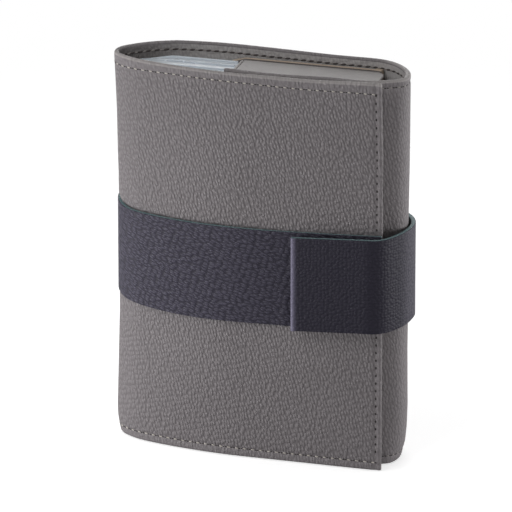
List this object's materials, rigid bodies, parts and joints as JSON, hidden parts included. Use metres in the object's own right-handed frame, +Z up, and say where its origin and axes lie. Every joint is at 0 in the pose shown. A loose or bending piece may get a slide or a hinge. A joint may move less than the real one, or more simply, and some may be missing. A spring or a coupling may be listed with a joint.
{
  "type": "weekly pill organizer",
  "caption": "Upright leather wallet with a wrap-round strap, fold-open cover and inner flap, holding a clear tray of day pill boxes with sliding lids.",
  "frame": {"origin": "bottom centre of the closed object's box, on the surface that it stands on", "axes": "+X to the right along the front, +Y from front to back, +Z up along the wallet's height"},
  "size_m": [0.123, 0.0428, 0.16],
  "materials": {
    "case_leather": "pebbled grey taupe faux leather, satin",
    "lining": "smooth grey lining, matt",
    "board": "grey board",
    "strap_leather": "grained dark navy leather, satin",
    "hook_and_loop": "dark hook and loop tape",
    "pocket_leather": "grey leather with a raw beige edge",
    "tab_leather": "smooth light grey leather",
    "tray_plastic": "clear plastic, faintly blue",
    "box_plastic": "frosted clear plastic",
    "lid_plastic": "clear plastic, faintly blue"
  },
  "bodies": {
    "back": {"back_leather": "case_leather", "back_lining": "lining", "back_board": "board", "strap_back": "strap_leather", "document_pocket": "pocket_leather", "top_tab": "tab_leather", "bottom_tab": "tab_leather", "pill_tray": "tray_plastic", "day_box_1": "box_plastic", "day_box_2": "box_plastic", "day_box_3": "box_plastic", "day_box_4": "box_plastic", "day_box_5": "box_plastic", "day_box_6": "box_plastic", "day_box_7": "box_plastic"},
    "spine_rear": {"spine_rear_leather": "case_leather", "spine_rear_lining": "lining", "strap_spine_rear": "strap_leather"},
    "spine_front": {"spine_front_leather": "case_leather", "spine_front_lining": "lining", "strap_spine_front": "strap_leather"},
    "cover": {"cover_leather": "case_leather", "cover_lining": "lining", "cover_board": "board", "strap_front": "strap_leather", "loop_pad": "hook_and_loop"},
    "flap": {"flap_leather": "case_leather", "flap_lining": "lining"},
    "strap_tail": {"strap_tail": "strap_leather", "hook_pad": "hook_and_loop"},
    "day_lid_1": {"day_lid_1": "lid_plastic"},
    "day_lid_2": {"day_lid_2": "lid_plastic"},
    "day_lid_3": {"day_lid_3": "lid_plastic"},
    "day_lid_4": {"day_lid_4": "lid_plastic"},
    "day_lid_5": {"day_lid_5": "lid_plastic"},
    "day_lid_6": {"day_lid_6": "lid_plastic"},
    "day_lid_7": {"day_lid_7": "lid_plastic"}
  },
  "joints": [
    {"name": "spine_fold", "type": "hinge", "parent": "back", "child": "spine_rear", "pos_m": [-0.04754, 0.01609, 0.08], "axis": [0, 0, -1], "range_deg": [0, 40]},
    {"name": "cover_open", "type": "hinge", "parent": "spine_rear", "child": "spine_front", "pos_m": [-0.06155, 0.00229, 0.08], "axis": [0, 0, -1], "range_deg": [0, 108], "deforming": ["strap_tail", "hook_pad"]},
    {"name": "cover_fold", "type": "hinge", "parent": "spine_front", "child": "cover", "pos_m": [-0.0469, -0.01104, 0.08], "axis": [0, 0, -1], "range_deg": [0, 32]},
    {"name": "flap_open", "type": "hinge", "parent": "back", "child": "flap", "pos_m": [0.06155, 0.00152, 0.08], "axis": [0, 0, 1], "range_deg": [0, 108]},
    {"name": "strap_release", "type": "hinge", "parent": "flap", "child": "strap_tail", "pos_m": [0.06155, 0.00152, 0.077], "axis": [0, 0, 1], "range_deg": [0, 90]},
    {"name": "day_1_slide", "type": "slide", "parent": "back", "child": "day_lid_1", "axis": [0, 0, 1], "range_m": [0, 0.14]},
    {"name": "day_2_slide", "type": "slide", "parent": "back", "child": "day_lid_2", "axis": [0, 0, 1], "range_m": [0, 0.14]},
    {"name": "day_3_slide", "type": "slide", "parent": "back", "child": "day_lid_3", "axis": [0, 0, 1], "range_m": [0, 0.14]},
    {"name": "day_4_slide", "type": "slide", "parent": "back", "child": "day_lid_4", "axis": [0, 0, 1], "range_m": [0, 0.14]},
    {"name": "day_5_slide", "type": "slide", "parent": "back", "child": "day_lid_5", "axis": [0, 0, 1], "range_m": [0, 0.14]},
    {"name": "day_6_slide", "type": "slide", "parent": "back", "child": "day_lid_6", "axis": [0, 0, 1], "range_m": [0, 0.14]},
    {"name": "day_7_slide", "type": "slide", "parent": "back", "child": "day_lid_7", "axis": [0, 0, 1], "range_m": [0, 0.14]}
  ],
  "couplings": [
    {"joint": "spine_fold", "follows": "cover_open", "ratio": 0.37},
    {"joint": "cover_fold", "follows": "cover_open", "ratio": 0.296},
    {"joint": "flap_open", "follows": "cover_open", "ratio": 1}
  ]
}
